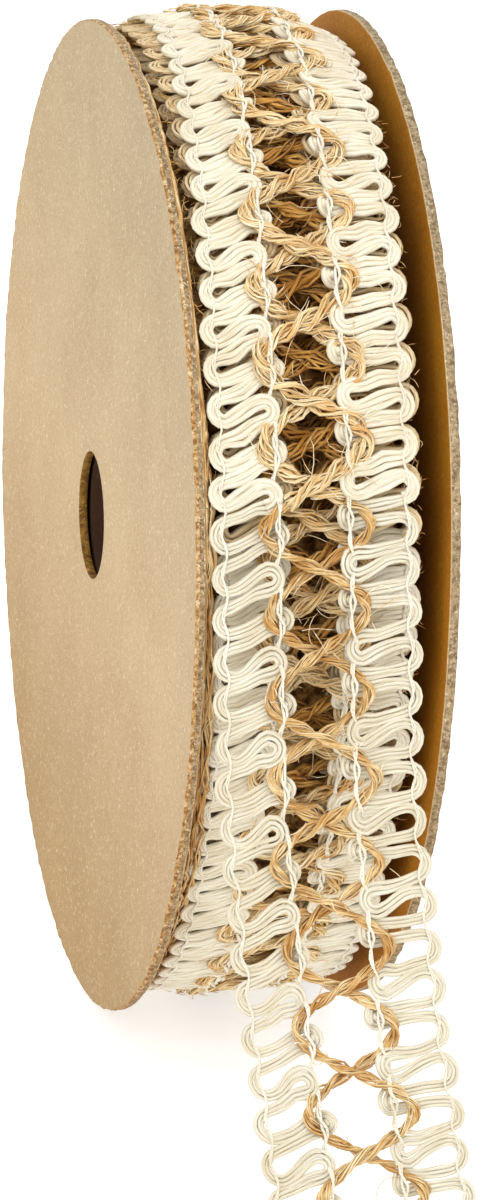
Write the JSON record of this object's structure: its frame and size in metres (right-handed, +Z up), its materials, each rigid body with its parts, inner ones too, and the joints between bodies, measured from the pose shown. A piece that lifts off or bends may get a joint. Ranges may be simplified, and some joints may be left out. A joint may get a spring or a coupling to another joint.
{
  "type": "roll of jute ribbon on a card spool",
  "caption": "Openwork jute and cotton ribbon wound on a round card spool, with a loose end that runs down and out flat on the surface.",
  "frame": {"origin": "on the surface the roll stands on, under the middle of its whole box", "axes": "+X along the spool's axis, -Y the way the loose end runs out, +Z up"},
  "size_m": [0.038, 0.2072, 0.129],
  "materials": {
    "kraft_card": "matte",
    "grey_card": "matte",
    "ribbon_yarn": "matte"
  },
  "bodies": {
    "root": {"flange_left": "kraft_card", "flange_right": "kraft_card", "core_tube": "grey_card", "ribbon_roll": "ribbon_yarn", "ribbon_tail": "ribbon_yarn"}
  },
  "joints": []
}
